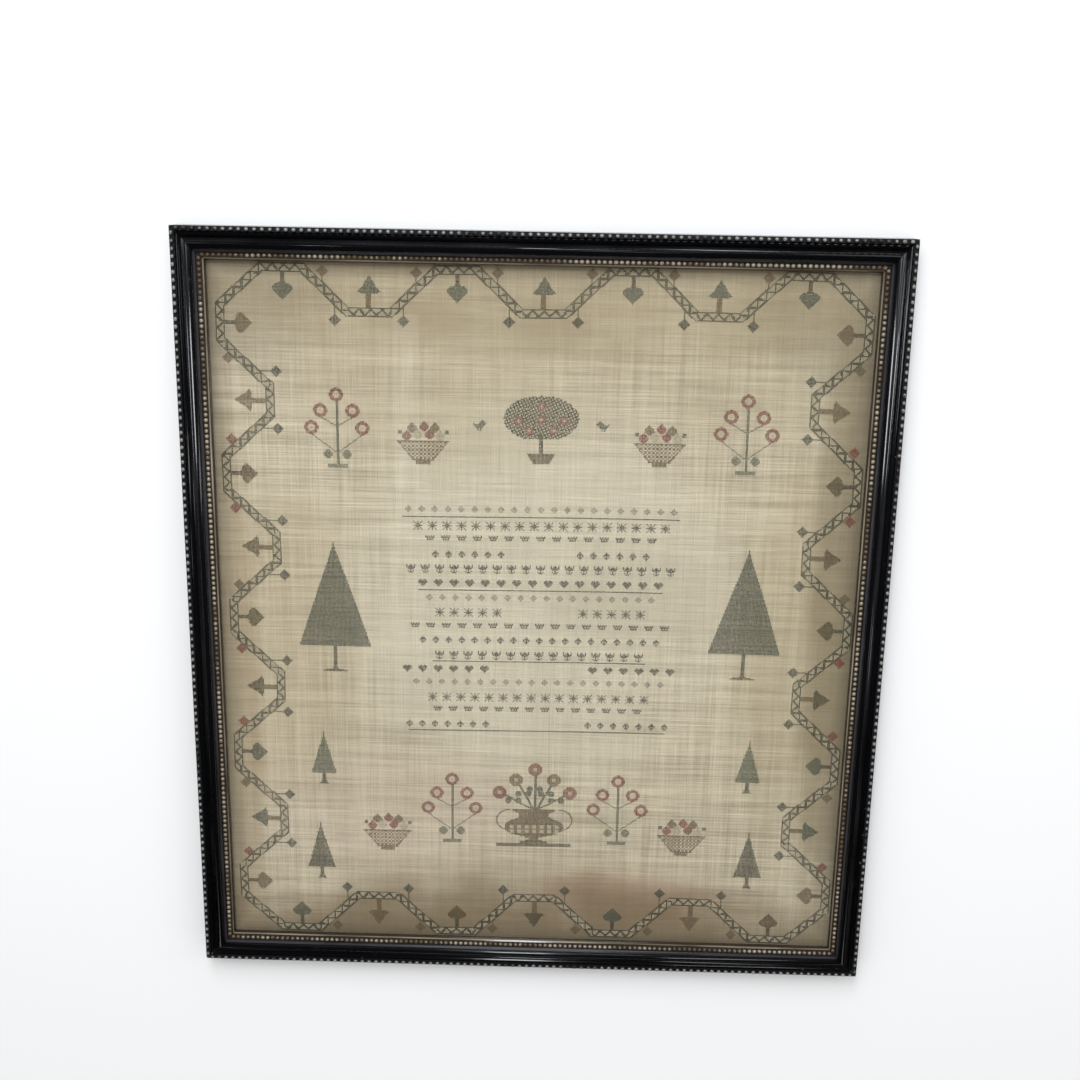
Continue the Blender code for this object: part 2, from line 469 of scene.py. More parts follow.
# ---------------------------------------------------------------- hand tools

def unselect() -> None:
    """Leave nothing selected or being edited."""
    if bpy.context.object and bpy.context.object.mode != "OBJECT":
        bpy.ops.object.mode_set(mode="OBJECT")
    bpy.ops.object.select_all(action="DESELECT")


def pick(piece: bpy.types.Object) -> None:
    """Make one piece the only selected and the active one."""
    unselect()
    piece.select_set(True)
    bpy.context.view_layer.objects.active = piece


def settle(piece: bpy.types.Object) -> None:
    """Apply a piece's place, turn and scale to its mesh."""
    pick(piece)
    bpy.ops.object.transform_apply(location=True, rotation=True, scale=True)


def read_points(piece: bpy.types.Object) -> np.ndarray:
    """The places of a mesh's vertices, one row each."""
    points = np.empty(len(piece.data.vertices) * 3, np.float32)
    piece.data.vertices.foreach_get("co", points)
    return points.reshape(-1, 3)


def join(pieces: list[bpy.types.Object], name: str) -> bpy.types.Object:
    """Join pieces into the first of them.

    Args:
        pieces: mesh objects.
        name: what the joined piece is called.

    Returns:
        The joined piece.
    """
    pick(pieces[0])
    for piece in pieces:
        piece.select_set(True)
    bpy.ops.object.join()
    joined = bpy.context.object
    joined.name = name
    joined.data.name = name
    return joined


def cut(piece: bpy.types.Object, place: Vector, normal: Vector) -> None:
    """Cut off what lies beyond a plane, and close the cut."""
    pick(piece)
    bpy.ops.object.mode_set(mode="EDIT")
    bpy.ops.mesh.select_all(action="SELECT")
    bpy.ops.mesh.bisect(plane_co=place, plane_no=normal, use_fill=True, clear_outer=True)
    bpy.ops.object.mode_set(mode="OBJECT")


def declare(piece: bpy.types.Object, replaced: tuple[str, ...] = ()) -> None:
    """Let a piece ride on the frame and stand for CAD nodes."""
    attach(piece, ROOT)
    if replaced:
        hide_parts(*replaced)
    LOG.info("%s: %d faces", piece.name, len(piece.data.polygons))


# ---------------------------------------------------------------- the frame

@dataclass
class Moulding:
    """The four black rails, smoothed from their CAD solids."""
    smooth_angle: float = math.radians(34)

    def build(self) -> list[bpy.types.Object]:
        """Copy each rail, weld its triangles and shade its rounds smooth."""
        rails = []
        for side in SIDES:
            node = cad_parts["rail_" + side]
            rail = bpy.data.objects.new("moulding_" + side, node.data.copy())
            bpy.context.scene.collection.objects.link(rail)
            pick(rail)
            bpy.ops.object.mode_set(mode="EDIT")
            bpy.ops.mesh.select_all(action="SELECT")
            bpy.ops.mesh.remove_doubles(threshold=0.01 * MM)
            bpy.ops.object.mode_set(mode="OBJECT")
            bpy.ops.object.shade_smooth_by_angle(angle=self.smooth_angle)
            rails.append(rail)
        return rails

    def dress(self, rails: list[bpy.types.Object]) -> None:
        lowest, highest = CAD_BOX
        material = EbonisedWood().make(highest.x - lowest.x, highest.y - lowest.y)
        for side, rail in zip(SIDES, rails):
            dress(rail, material)
            declare(rail, ("rail_" + side,))


@dataclass
class BeadedStrip:
    """Beads on a thin backing, along the four sides of a rectangle."""
    node: str
    name: str
    slot: str
    pitch: float
    bead_length: float
    finish: RubbedFinishWithPaintedLight
    backing: float = 0.55 * MM
    lift: float = 0.1 * MM
    corner_room: float = 1.4
    corner_take: float = 1.2
    segments: int = 10
    rings: int = 6

    def bead(self, width: float, rise: float) -> bpy.types.Object:
        """One bead, an ellipsoid flattened below."""
        unselect()
        bpy.ops.mesh.primitive_uv_sphere_add(segments=self.segments, ring_count=self.rings, radius=0.5)
        made = bpy.context.object
        bpy.ops.object.mode_set(mode="EDIT")
        bpy.ops.mesh.select_all(action="SELECT")
        bpy.ops.transform.resize(value=(self.bead_length, width, 2 * rise))
        bpy.ops.mesh.bisect(plane_co=(0, 0, -0.1 * rise), plane_no=(0, 0, -1), use_fill=True,
                            clear_outer=True)
        bpy.ops.object.mode_set(mode="OBJECT")
        bpy.ops.object.shade_smooth_by_angle(angle=math.radians(60))
        return made

    def length(self, side_index: int) -> bpy.types.Object:
        """One side of the strip, turned and in place.

        Args:
            side_index: 0 to 3 for the bottom, right, top and left.

        Returns:
            The finished strip.
        """
        low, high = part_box(self.node + "_" + SIDES[side_index])
        size = high - low
        run = max(size.x, size.y)
        width = min(size.x, size.y)
        middle = (low + high) / 2
        reach = math.hypot(middle.x, middle.y)
        count = int((run - self.corner_room * width) / self.pitch)
        pitch = (run - self.corner_take * width) / count
        row = self.bead(width * 0.94, size.z - self.backing)
        row.location = (-pitch * (count - 1) / 2, -reach, low.z + self.backing)
        array = row.modifiers.new("row", "ARRAY")
        array.count = count
        array.use_relative_offset = False
        array.use_constant_offset = True
        array.constant_offset_displace = (pitch, 0, 0)
        pick(row)
        bpy.ops.object.modifier_apply(modifier=array.name)
        settle(row)
        self.vary(row, count, side_index)
        seat = low.z + self.backing / 2 + self.lift
        bpy.ops.mesh.primitive_cube_add(size=1, location=(0, -reach, seat))
        base = bpy.context.object
        base.scale = (run, width, self.backing)
        settle(base)
        for way in (-1, 1):
            corner = Vector((way * run / 2, -reach - width / 2, 0))
            cut(base, corner, Vector((way, 1, 0)).normalized())
        strip = join([base, row], self.name + "_" + SIDES[side_index])
        strip.rotation_euler.z = side_index * math.pi / 2
        settle(strip)
        return strip

    def vary(self, row: bpy.types.Object, count: int, side_index: int) -> None:
        """Make each bead a little longer, wider or lower, as a cast composition strip is."""
        draw = np.random.default_rng(SEED + side_index + int(self.pitch / MM * 10))
        points = read_points(row).reshape(count, -1, 3)
        middle = points.mean(axis=1, keepdims=True)
        foot = points[..., 2:].min()
        grow = draw.uniform(0.93, 1.05, (count, 1, 2))
        points[..., :2] = middle[..., :2] + (points[..., :2] - middle[..., :2]) * grow
        points[..., 2:] = foot + (points[..., 2:] - foot) * draw.uniform(0.82, 1.0, (count, 1, 1))
        row.data.vertices.foreach_set("co", points.ravel())

    def build(self) -> None:
        """Make and dress all four sides."""
        material = self.finish.make()
        for index, side in enumerate(SIDES):
            strip = self.length(index)
            dress(strip, material)
            declare(strip, (self.node + "_" + side,))


# ---------------------------------------------------------------- the linen

@dataclass
class Linen:
    """The stretched ground cloth, gently cockled as it hangs behind the glass."""
    cells_x: int = 60
    cells_y: int = 66
    wave: float = 0.25 * MM
    thickness: float = 1.0 * MM
    width: float = field(init=False)
    height: float = field(init=False)
    top: float = field(init=False)

    def __post_init__(self) -> None:
        """Read the sheet's size and its middle height from the CAD cloth."""
        low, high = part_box("sampler_cloth")
        self.width = high.x - low.x
        self.height = high.y - low.y
        self.top = (low.z + high.z) / 2 + self.thickness / 2

    def level(self, x: np.ndarray, y: np.ndarray) -> np.ndarray:
        """The height of the cloth's face at each place."""
        u = x / self.width
        v = y / self.height
        slow = 0.6 * np.sin(3.1 * math.pi * u + 0.7) * np.cos(2.3 * math.pi * v - 0.4)
        slant = 0.4 * np.sin(1.7 * math.pi * (u + v) + 1.9)
        return self.top + self.wave * 0.9 * (slow + slant)

    def build(self) -> bpy.types.Object:
        """Make the sheet: a grid, cockled, with its thickness below its face."""
        unselect()
        bpy.ops.mesh.primitive_grid_add(x_subdivisions=self.cells_x, y_subdivisions=self.cells_y,
                                        size=1)
        sheet = bpy.context.object
        sheet.name = "linen"
        sheet.scale = (self.width, self.height, 1)
        settle(sheet)
        points = read_points(sheet)
        points[:, 2] = self.level(points[:, 0], points[:, 1])
        sheet.data.vertices.foreach_set("co", points.ravel())
        body = sheet.modifiers.new("thickness", "SOLIDIFY")
        body.thickness = self.thickness
        body.offset = -1
        pick(sheet)
        bpy.ops.object.modifier_apply(modifier=body.name)
        bpy.ops.object.shade_smooth_by_angle(angle=math.radians(40))
        dress(sheet, AgedLinenWithPaintedShade().make())
        declare(sheet, ("sampler_cloth",))
        return sheet


# ---------------------------------------------------------------- the embroidery

class Thread(Enum):
    """The threads, by the dye each one was given."""
    DARK_GREEN = (0.016, 0.030, 0.021)
    GREY_GREEN = (0.060, 0.105, 0.082)
    PALE_GREEN = (0.165, 0.190, 0.130)
    BLUE_GREEN = (0.014, 0.040, 0.040)
    OLIVE = (0.066, 0.058, 0.022)
    BROWN = (0.118, 0.072, 0.026)
    TAN = (0.200, 0.128, 0.058)
    ROSE = (0.300, 0.035, 0.045)
    CREAM = (0.720, 0.630, 0.450)


Cell = tuple[int, int]
STROKES = {
    "g": Thread.DARK_GREEN, "e": Thread.GREY_GREEN, "p": Thread.PALE_GREEN, "b": Thread.BROWN,
    "t": Thread.TAN, "r": Thread.ROSE, "c": Thread.CREAM, "o": Thread.OLIVE, "u": Thread.BLUE_GREEN,
}
# Small band figures, each a repeat on its own: a diamond, heart, tulip, acorn, crown and star.
BANDS = (
    ("...g...", "..g.g..", ".g.g.g.", "..g.g..", "...g..."),
    (".gg.gg.", "ggggggg", "ggggggg", ".ggggg.", "..ggg..", "...g..."),
    ("g..g..g", "g.ggg.g", "ggggggg", ".ggggg.", "...g...", ".g.g.g.", "..ggg.."),
    ("...g...", "..ggg..", ".ggggg.", ".g.g.g.", "..ggg..", "...g..."),
    ("g.g.g.g", "ggggggg", ".g.g.g.", ".ggggg."),
    ("g..g..g", ".g.g.g.", "..ggg..", "ggggggg", "..ggg..", ".g.g.g.", "g..g..g"),
)
BIRD = ("..ee.......", ".eeee......", "beeeee...e.", ".eeeeeeeee.", "..eeeeeee..", "...eeeee...",
        "....e.e....", "....e.e....")
HEART_WIDTHS = (5, 11, 13, 15, 15, 15, 13, 11, 9, 7, 5, 3, 1)
CONE_WIDTHS = (13, 17, 15, 13, 11, 9, 9, 7, 7, 5, 3, 3, 1)
DIAMOND_WIDTHS = (1, 3, 5, 7, 9, 7, 5, 3, 1)
WARM = (Thread.BROWN, Thread.TAN, Thread.GREY_GREEN, Thread.OLIVE)


def turned(x: float, y: float, quarters: int) -> tuple[float, float]:
    """A place turned left by quarter turns."""
    for _ in range(quarters % 4):
        x, y = -y, x
    return x, y


class Chart:
    """Which thread fills each crossing of the linen, counted from the middle."""
    course: int = 4

    def __init__(self) -> None:
        """Start with bare linen."""
        self.cells: dict[Cell, Thread] = {}

    def put(self, x: float, y: float, thread: Thread) -> None:
        """Work one stitch."""
        self.cells[(math.floor(x + 0.5), math.floor(y + 0.5))] = thread

    def rows(self, x: float, y: float, widths: tuple[int, ...], thread: Thread, quarters: int = 0,
             second: Optional[Thread] = None) -> None:
        """Build a figure up in rows of the given widths, from its foot at x, y."""
        for step, width in enumerate(widths):
            for place in range(-(width // 2), width - width // 2):
                across, up = turned(place, step, quarters)
                course = step // self.course
                striped = second is not None and (step % self.course == self.course - 1
                                                  or (place + course * self.course) % 8 == 0)
                self.put(x + across, y + up, second if striped else thread)

    def bar(self, x: float, y: float, width: int, height: int, thread: Thread,
            quarters: int = 0) -> None:
        """Work a solid bar up from its foot at x, y."""
        self.rows(x, y, (width,) * height, thread, quarters)

    def figure(self, x: float, y: float, lines: tuple[str, ...], flip: bool = False) -> None:
        """Work a small charted figure, its top left at x, y."""
        for down, line in enumerate(lines):
            for across, mark in enumerate(reversed(line) if flip else line):
                if mark in STROKES:
                    self.put(x + across, y - down, STROKES[mark])

    def ring(self, x: float, y: float, inner: float, outer: float, thread: Thread) -> None:
        """Work a round flower, open in the middle where inner is above zero."""
        reach = math.ceil(outer)
        for across in range(-reach, reach + 1):
            for up in range(-reach, reach + 1):
                if inner <= math.hypot(across, up) <= outer:
                    self.put(x + across, y + up, thread)

    def line(self, start: Vector, end: Vector, thread: Thread, width: int = 1) -> None:
        """Work a straight or slanting stem."""
        steps = int(max(abs(end.x - start.x), abs(end.y - start.y), 1))
        for step in range(steps + 1):
            place = start.lerp(end, step / steps)
            for extra in range(width):
                self.put(place.x + extra, place.y, thread)


@dataclass
class Border:
    """The running chain border, with hearts, small trees and diamonds along it."""
    outer_row: int = 268
    inner_row: int = 237
    outer_column: int = 236
    inner_column: int = 201
    row_step: float = 63.5
    column_step: float = 56.75
    row_flats: int = 3
    column_flats: int = 4
    half_row_flat: tuple[int, int] = (15, 16)
    half_column_flat: tuple[int, int] = (13, 11)
    link: float = 4.2
    half_band: float = 3.5
    outline: float = 2.3
    bar: float = 1.15

    def top(self) -> list[Vector]:
        """The corners of the top run, from left to right."""
        corners = []
        for index in range(-self.row_flats, self.row_flats + 1):
            outer = index % 2 == 1
            level = self.outer_row if outer else self.inner_row
            half = self.half_row_flat[0 if outer else 1]
            middle = index * self.row_step
            corners += [Vector((middle - half, level)), Vector((middle + half, level))]
        return corners

    def right(self) -> list[Vector]:
        """The corners of the right run, from the top down."""
        corners = []
        for index in range(self.column_flats, -self.column_flats - 1, -1):
            outer = index % 2 == 0
            level = self.outer_column if outer else self.inner_column
            half = self.half_column_flat[0 if outer else 1]
            middle = index * self.column_step
            corners += [Vector((level, middle + half)), Vector((level, middle - half))]
        return corners

    def chain(self, chart: Chart) -> None:
        """Work the band: two green lines and a zigzag bar, with cream cells between."""
        half = self.top() + self.right()
        path = half + [-corner for corner in half]
        nearest: dict[Cell, tuple[float, float, float]] = {}
        travelled = 0.0
        margin = math.ceil(self.half_band)
        for start, end in zip(path, path[1:] + path[:1]):
            length = (end - start).length
            along = (end - start) / length
            low_x, high_x = sorted((round(start.x), round(end.x)))
            low_y, high_y = sorted((round(start.y), round(end.y)))
            for x in range(low_x - margin, high_x + margin + 1):
                for y in range(low_y - margin, high_y + margin + 1):
                    offset = Vector((x, y)) - start
                    reach = min(max(offset.dot(along), 0.0), length)
                    away = (offset - along * reach).length
                    if away <= self.half_band and away < nearest.get((x, y), (9.0,))[0]:
                        side = along.x * offset.y - along.y * offset.x
                        nearest[(x, y)] = (away, travelled + reach, side)
            travelled += length
        pitch = travelled / (2 * round(travelled / self.link / 2))
        for (x, y), (_away, reach, side) in nearest.items():
            turns = reach / (2 * pitch)
            zigzag = (4 * abs(turns - math.floor(turns) - 0.5) - 1) * self.outline
            rail = abs(side) > self.outline
            if rail or abs(side - zigzag) < self.bar:
                chart.put(x, y, Thread.DARK_GREEN)
            else:
                chart.put(x, y, Thread.CREAM)

    def heart(self, chart: Chart, x: float, y: float, quarters: int, thread: Thread) -> None:
        """A heart on its stem, pointing away from the band."""
        across, up = turned(0, 4, quarters)
        chart.bar(x + across, y + up, 3, 9, Thread.DARK_GREEN, quarters)
        across, up = turned(0, 11, quarters)
        chart.rows(x + across, y + up, HEART_WIDTHS, thread, quarters)
        for step in (-1, 0, 1):
            across, up = turned(step, 11, quarters)
            chart.put(x + across, y + up, Thread.DARK_GREEN)

    def tree(self, chart: Chart, x: float, y: float, quarters: int, thread: Thread) -> None:
        """A small bell-shaped tree on a tan stem."""
        across, up = turned(0, 4, quarters)
        chart.bar(x + across, y + up, 4, 11, Thread.TAN, quarters)
        across, up = turned(0, 14, quarters)
        chart.rows(x + across, y + up, CONE_WIDTHS, thread, quarters)

    def diamond(self, chart: Chart, x: float, y: float, quarters: int, thread: Thread,
                stem: int) -> None:
        """A diamond on a thin stem."""
        across, up = turned(0, 3, quarters)
        chart.bar(x + across, y + up, 1, stem, Thread.OLIVE, quarters)
        across, up = turned(0, stem + 3, quarters)
        chart.rows(x + across, y + up, DIAMOND_WIDTHS, thread, quarters)

    def rows_of_figures(self, chart: Chart, way: int, out: int) -> None:
        """Hang the figures on the top or bottom run.

        Args:
            chart: what is worked.
            way: 1 for the top, -1 for the bottom.
            out: the quarter turns that face outwards.
        """
        middle = (self.outer_row + self.inner_row) / 2
        for index in range(-self.row_flats, self.row_flats + 1):
            x = index * self.row_step
            tint = WARM[(index * 3 + way) % 4] if way < 0 else WARM[2 + index % 2]
            if index % 2:
                head = Thread.GREY_GREEN if way > 0 else tint
                self.heart(chart, x, way * self.outer_row, out + 2, head)
            else:
                self.tree(chart, x, way * self.inner_row, out, tint)
        for index in range(-self.row_flats, self.row_flats):
            rise = -1 if index % 2 else 1
            x = (index + 0.5) * self.row_step
            self.diamond(chart, x - 7 * rise, way * (middle - 7), out + 2, Thread.BLUE_GREEN, 8)
            self.diamond(chart, x + 2 * rise, way * (middle + 2), out, Thread.TAN, 4)

    def columns_of_figures(self, chart: Chart, way: int, out: int) -> None:
        """Hang the figures on the right or left run; way is 1 for the right, -1 for the left."""
        middle = (self.outer_column + self.inner_column) / 2
        for index in range(-self.column_flats, self.column_flats + 1):
            y = index * self.column_step
            if index % 2:
                self.tree(chart, way * self.inner_column, y, out, WARM[(index // 2) % 4])
            else:
                self.heart(chart, way * self.outer_column, y, out + 2, WARM[(index // 2 + 3) % 4])
        for index in range(-self.column_flats, self.column_flats):
            rise = 1 if index % 2 else -1
            y = (index + 0.5) * self.column_step
            outside = Thread.ROSE if index % 3 else Thread.TAN
            self.diamond(chart, way * (middle - 7), y - 7 * rise, out + 2, Thread.BLUE_GREEN, 8)
            self.diamond(chart, way * (middle + 2), y + 2 * rise, out, outside, 4)

    def figures(self, chart: Chart) -> None:
        """Hang the hearts, trees and diamonds on all four runs."""
        for way, out in ((1, 0), (-1, 2)):
            self.rows_of_figures(chart, way, out)
        for way, out in ((1, 3), (-1, 1)):
            self.columns_of_figures(chart, way, out)

    def work(self, chart: Chart) -> None:
        """Work the figures, then the chain over their feet."""
        self.figures(chart)
        self.chain(chart)


@dataclass
class Field:
    """The middle of the sampler: bands, trees, baskets, an urn and flowers, in pairs."""
    block_top: int = 92
    row_pitch: float = 11.6
    block_rows: int = 16
    half_block: int = 104

    def bands(self, chart: Chart) -> None:
        """Work rows of small repeats, with thin lines between some of them."""
        for row in range(self.block_rows):
            y = self.block_top - row * self.row_pitch
            figure = BANDS[(row * 5) % len(BANDS)]
            half = self.half_block - (row * 37) % 29
            step = 10 + row % 3
            count = int(2 * half / step)
            for index in range(count + 1):
                if row % 4 == 3 and abs(index - count / 2) < count / 6:
                    continue
                chart.figure((index - count / 2) * step - 3, y, figure, index % 2 == 1)
            if row % 5 == 0:
                for x in range(-half, half + 1):
                    chart.put(x, y - 8.5, Thread.DARK_GREEN if x % 3 else Thread.OLIVE)

    def tall_tree(self, chart: Chart, x: float, y: float, width: int, height: int,
                  thread: Thread, second: Thread) -> None:
        """A tall tree worked in lines, on a trunk with a small foot."""
        trunk = height // 4
        chart.rows(x, y, (width // 3, width // 4, 5), Thread.OLIVE)
        chart.bar(x, y, 3, trunk + 2, Thread.DARK_GREEN)
        widths = tuple(max(1, round(width * (1 - step / height) / 2) * 2 - 1)
                       for step in range(height))
        chart.rows(x, y + trunk, widths, thread, 0, second)

    def basket(self, chart: Chart, x: float, y: float) -> None:
        """A lattice basket of round fruit, on a small foot."""
        for step in range(15):
            half = 8 + step * 11 // 14
            for place in range(-half, half + 1):
                rim = step in (0, 14) or abs(place) == half
                if rim or (place + step) % 3 == 0 or (place - step) % 3 == 0:
                    chart.put(x + place, y + step, Thread.BROWN if rim else Thread.TAN)
        chart.bar(x, y - 3, 11, 3, Thread.TAN)
        for place, lift, thread in ((-12, 18, Thread.ROSE), (-4, 19, Thread.CREAM),
                                    (5, 19, Thread.ROSE), (13, 18, Thread.CREAM),
                                    (-8, 24, Thread.TAN), (1, 25, Thread.ROSE), (9, 24, Thread.TAN)):
            chart.ring(x + place, y + lift, 0, 3.2, thread)
            chart.put(x + place, y + lift + 4, Thread.GREY_GREEN)
        for place in (-17, 18):
            chart.ring(x + place, y + 21, 0, 1.8, Thread.GREY_GREEN)

    def ring_flowers(self, chart: Chart, x: float, y: float) -> None:
        """A spray of open round flowers on one stem."""
        chart.line(Vector((x, y)), Vector((x, y + 46)), Thread.GREY_GREEN, 2)
        for place, lift in ((0, 52), (-12, 40), (12, 40), (-19, 27), (19, 27)):
            if place:
                foot = lift - abs(place)
                chart.line(Vector((x, y + foot)), Vector((x + place, y + lift - 5)),
                           Thread.GREY_GREEN)
            chart.ring(x + place, y + lift, 2.4, 5.2, Thread.ROSE)
            chart.ring(x + place, y + lift, 0, 1.2, Thread.CREAM)
        for way in (-1, 1):
            chart.ring(x + way * 7, y + 7, 0, 3.2, Thread.PALE_GREEN)
        chart.bar(x, y - 3, 15, 3, Thread.PALE_GREEN)

    def urn(self, chart: Chart, y: float) -> None:
        """A two-handled urn with a spray of flowers, on a low stand."""
        outline = (22, 22, 14, 8, 8, 14, 22, 30, 36, 40, 43, 45, 46, 47, 47, 47, 46, 45, 43, 40, 36,
                   31, 27, 24, 24, 24, 26, 30, 34, 34)
        chart.rows(0, y, outline, Thread.BROWN, 0, Thread.TAN)
        for step in range(9, 17, 4):
            for place in range(-18, 19, 6):
                chart.ring(place, y + step + 1, 0, 1.6, Thread.CREAM)
        for way in (-1, 1):
            for turn in range(40):
                angle = math.pi * (turn / 39 - 0.5)
                chart.put(way * (20 + 10 * math.cos(angle)), y + 20 + 9 * math.sin(angle),
                          Thread.BROWN)
        top = y + len(outline)
        for place, lift, thread in ((0, 34, Thread.ROSE), (-15, 25, Thread.TAN), (15, 25, Thread.TAN),
                                    (-28, 14, Thread.ROSE), (28, 14, Thread.ROSE)):
            chart.line(Vector((place * 0.1, top)), Vector((place, top + lift)), Thread.DARK_GREEN, 2)
            chart.ring(place, top + lift, 0, 5.4, thread)
            chart.ring(place, top + lift, 0, 1.8, Thread.CREAM)
            chart.ring(place * 0.6 + 4, top + lift * 0.5, 0, 2.4, Thread.GREY_GREEN)
            chart.ring(place * 0.6 - 4, top + lift * 0.5, 0, 2.4, Thread.GREY_GREEN)

    def bush(self, chart: Chart, x: float, y: float) -> None:
        """A wide flowering bush in a small pot, for the top middle."""
        chart.rows(x, y, (13, 13, 15, 17, 17, 19, 19, 21), Thread.BROWN, 0, Thread.TAN)
        chart.bar(x, y + 8, 3, 14, Thread.DARK_GREEN)
        for across in range(-29, 30):
            for up in range(-15, 20):
                if (across / 28) ** 2 + (up / 17) ** 2 <= 1 and (across * 2 + up) % 5:
                    chart.put(x + across, y + 34 + up, Thread.DARK_GREEN)
        for place, lift in ((-17, 32), (17, 32), (0, 43), (-9, 25), (9, 25), (0, 33)):
            chart.ring(x + place, y + lift, 0, 3.3, Thread.ROSE)
            chart.ring(x + place, y + lift, 0, 1.2, Thread.CREAM)

    def work(self, chart: Chart) -> None:
        """Work the whole field, each side figure with its pair."""
        self.bands(chart)
        self.bush(chart, 0, 126)
        chart.bar(0, -190, 60, 3, Thread.OLIVE)
        self.urn(chart, -187)
        for way in (-1, 1):
            chart.figure(way * 46 - 5, 158, BIRD, way < 0)
            self.basket(chart, way * 88, 128)
            self.ring_flowers(chart, way * 152, 124)
            self.tall_tree(chart, way * 158, -42, 57, 84, Thread.GREY_GREEN, Thread.DARK_GREEN)
            self.tall_tree(chart, way * 168, -138, 21, 36, Thread.PALE_GREEN, Thread.GREY_GREEN)
            self.tall_tree(chart, way * 172, -222, 23, 40, Thread.DARK_GREEN, Thread.GREY_GREEN)
            self.ring_flowers(chart, way * 66, -184)
            self.basket(chart, way * 118, -192)


@dataclass
class Embroidery:
    """Every stitch of the chart, laid over the cockled linen."""
    linen: Linen
    pitch: float = 0.9 * MM
    shift_x: float = 1.9 * MM
    shift_y: float = -0.1 * MM
    thread: float = 0.44 * MM
    lift: float = 0.12 * MM
    wander_x: float = 0.7 * MM
    wander_y: float = 0.8 * MM
    stray: float = 0.05 * MM
    piece_limit: int = 12000

    def arm(self, quarter: int, lift: float) -> bpy.types.Object:
        """One arm of the cross: a slim spindle laid along a diagonal."""
        unselect()
        length = self.pitch * 1.36
        bpy.ops.mesh.primitive_cone_add(vertices=4, radius1=self.thread / 2, radius2=0,
                                        depth=length / 2, end_fill_type="NOTHING",
                                        location=(0, 0, length / 4))
        made = bpy.context.object
        settle(made)
        bpy.ops.object.mode_set(mode="EDIT")
        bpy.ops.mesh.select_mode(type="VERT")
        bpy.ops.mesh.select_all(action="DESELECT")
        bpy.ops.object.mode_set(mode="OBJECT")
        for vertex in made.data.vertices:
            vertex.select = vertex.co.z < length / 100
        bpy.ops.object.mode_set(mode="EDIT")
        bpy.ops.mesh.extrude_region_move(TRANSFORM_OT_translate={"value": (0, 0, -length / 2)})
        bpy.ops.mesh.merge(type="CENTER")
        bpy.ops.mesh.select_all(action="SELECT")
        bpy.ops.mesh.normals_make_consistent(inside=False)
        bpy.ops.object.mode_set(mode="OBJECT")
        made.rotation_euler = (math.pi / 2, 0, math.pi / 4 + quarter * math.pi / 2)
        made.location.z = lift
        settle(made)
        return made

    def cross(self) -> tuple[np.ndarray, np.ndarray]:
        """Model one stitch and read its corners and triangles."""
        stitch = join([self.arm(0, 0.0), self.arm(1, self.lift)], "stitch")
        points = np.array([vertex.co for vertex in stitch.data.vertices], np.float32)
        faces = np.array([face.vertices[:] for face in stitch.data.polygons], np.int32)
        bpy.data.objects.remove(stitch, do_unlink=True)
        return points, faces

    def lay(self, name: str, cells: np.ndarray, points: np.ndarray, faces: np.ndarray,
            draw: np.random.Generator) -> bpy.types.Object:
        """Lay one stitch at each cell.

        Args:
            name: the piece's name.
            cells: columns and rows.
            points: one stitch's corners.
            faces: one stitch's triangles.
            draw: the seeded source of unevenness.

        Returns:
            The joined stitches, with each one's shade as an attribute.
        """
        count = len(cells)
        x = cells[:, 0] * self.pitch + self.shift_x
        y = cells[:, 1] * self.pitch + self.shift_y
        x = x + self.wander_x * np.sin(y * 21 + 1.3) + draw.normal(0, self.stray, count)
        y = y + self.wander_y * np.sin(x * 17 + 0.4) + draw.normal(0, self.stray, count)
        turn = draw.normal(0, 0.10, count)
        size = draw.uniform(0.88, 1.08, count)
        level = self.linen.level(x, y) + self.thread * 0.30
        cosine, sine = np.cos(turn) * size, np.sin(turn) * size
        laid = np.empty((count, len(points), 3), np.float32)
        laid[..., 0] = x[:, None] + points[:, 0] * cosine[:, None] - points[:, 1] * sine[:, None]
        laid[..., 1] = y[:, None] + points[:, 0] * sine[:, None] + points[:, 1] * cosine[:, None]
        laid[..., 2] = level[:, None] + points[:, 2]
        mesh = bpy.data.meshes.new(name)
        corners = (faces[None] + np.arange(count)[:, None, None] * len(points)).ravel()
        mesh.vertices.add(count * len(points))
        mesh.vertices.foreach_set("co", laid.ravel())
        mesh.loops.add(len(corners))
        mesh.loops.foreach_set("vertex_index", corners.astype(np.int32))
        mesh.polygons.add(len(corners) // 3)
        mesh.polygons.foreach_set("loop_start", np.arange(0, len(corners), 3, dtype=np.int32))
        mesh.update(calc_edges=True)
        rows = draw.uniform(0, 1, 2048)
        patch = 0.5 + 0.5 * np.sin(x * 60 + 1.7 * np.sin(y * 45))
        shade = 0.45 * rows[(cells[:, 1].astype(int) // 2) % 2048] + 0.3 * patch
        shade = shade + draw.uniform(0, 0.3, count)
        attribute = mesh.attributes.new("shade", "FLOAT", "POINT")
        attribute.data.foreach_set("value", np.repeat(shade, len(points)).astype(np.float32))
        piece = bpy.data.objects.new(name, mesh)
        bpy.context.scene.collection.objects.link(piece)
        return piece

    def build(self) -> None:
        """Chart the design, then lay each thread's stitches."""
        chart = Chart()
        Field().work(chart)
        Border().work(chart)
        points, faces = self.cross()
        draw = np.random.default_rng(SEED)
        total = 0
        for thread in Thread:
            cells = np.array(sorted(cell for cell, used in chart.cells.items() if used is thread),
                             float)
            if not len(cells):
                continue
            material = DyedThread(thread.name.lower(), thread.value).make()
            total += len(cells)
            for part, some in enumerate(np.array_split(cells, len(cells) // self.piece_limit + 1)):
                name = "stitches_" + thread.name.lower() + "_" + str(part + 1)
                piece = self.lay(name, some, points, faces, draw)
                dress(piece, material)
                declare(piece)
        LOG.info("%d stitches", total)


# ---------------------------------------------------------------- pane, board and studio

